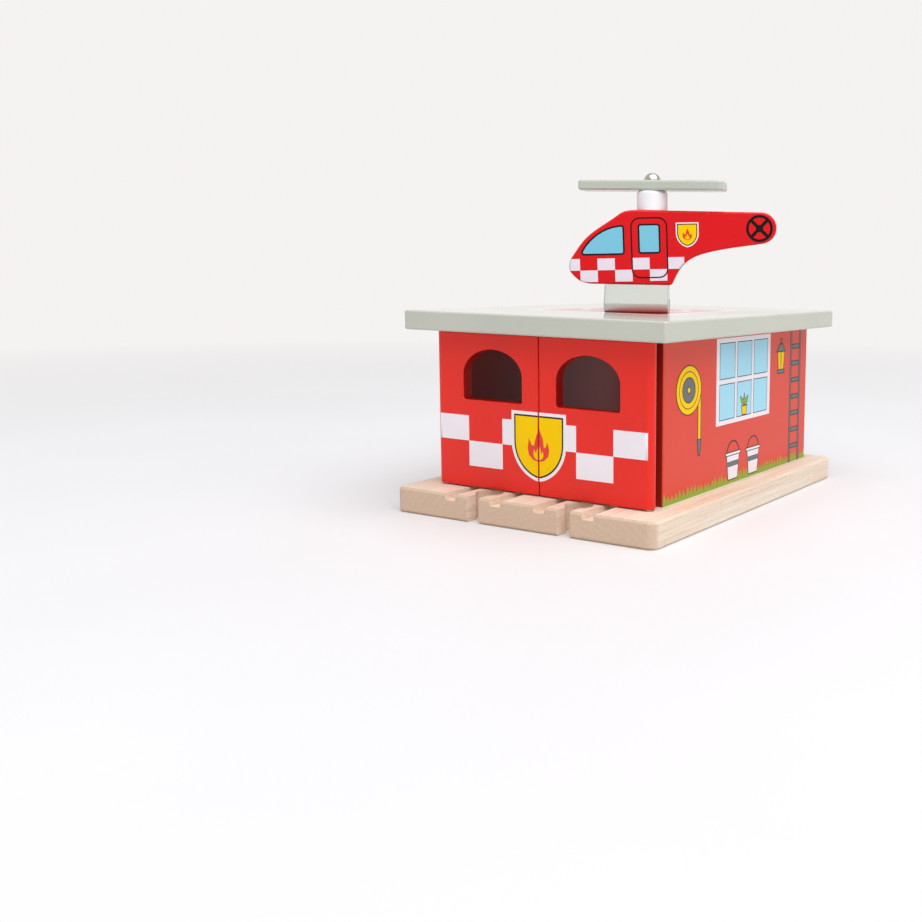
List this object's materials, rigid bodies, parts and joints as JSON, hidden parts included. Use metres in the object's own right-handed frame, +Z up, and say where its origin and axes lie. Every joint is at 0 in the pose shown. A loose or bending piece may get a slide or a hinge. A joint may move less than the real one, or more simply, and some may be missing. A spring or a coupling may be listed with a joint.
{
  "type": "toy fire station",
  "caption": "Flat-roofed wooden toy fire station with hinged arched-window doors, a portal at the back, a grooved base board for toy trains and a loose helicopter with a spinning blade.",
  "frame": {"origin": "centre of the base board's underside", "axes": "+Z up, +Y from the doors to the back wall along the base board's length, +X to the right of someone who faces the doors"},
  "size_m": [0.146, 0.189, 0.1626],
  "materials": {
    "beech": "sanded, unvarnished beech",
    "red_board": "board with satin red paint",
    "grey_board": "board with satin light grey paint",
    "red_gloss": "board with glossy red paint",
    "white_post": "dowel with satin white paint",
    "bare_dowel": "bare beech dowel",
    "plain_steel": "bright steel",
    "chrome": "nickel-plated"
  },
  "bodies": {
    "shed": {"base_board": "beech", "left_wall": "red_board", "right_wall": "red_board", "back_wall": "red_board", "roof_slab": "grey_board", "left_wall_nails": "plain_steel", "right_wall_nails": "plain_steel", "back_wall_nails": "plain_steel", "left_roof_nails": "plain_steel", "right_roof_nails": "plain_steel"},
    "left_door": {"left_door": "red_board", "left_door_upper_pin": "plain_steel", "left_door_lower_pin": "plain_steel"},
    "right_door": {"right_door": "red_board", "right_door_upper_pin": "plain_steel", "right_door_lower_pin": "plain_steel"},
    "helicopter": {"helicopter_body": "red_gloss", "landing_skid": "grey_board", "front_skid_dowel": "bare_dowel", "rear_skid_dowel": "bare_dowel", "rotor_mast": "white_post", "rotor_screw": "chrome"},
    "rotor": {"rotor_blade": "grey_board"}
  },
  "joints": [
    {"name": "left_door_hinge", "type": "hinge", "parent": "shed", "child": "left_door", "pos_m": [-0.057, -0.0755, 0.012], "axis": [0, 0, -1], "range_deg": [0, 220]},
    {"name": "right_door_hinge", "type": "hinge", "parent": "shed", "child": "right_door", "pos_m": [0.057, -0.0755, 0.012], "axis": [0, 0, 1], "range_deg": [0, 220]},
    {"name": "helicopter_lift", "type": "slide", "parent": "shed", "child": "helicopter", "axis": [0, 0, 1], "range_m": [0, 0.1]},
    {"name": "rotor_spin", "type": "hinge", "parent": "helicopter", "child": "rotor", "pos_m": [0.0172, -0.01065, 0.15385], "axis": [0, 0, 1], "continuous": true}
  ]
}
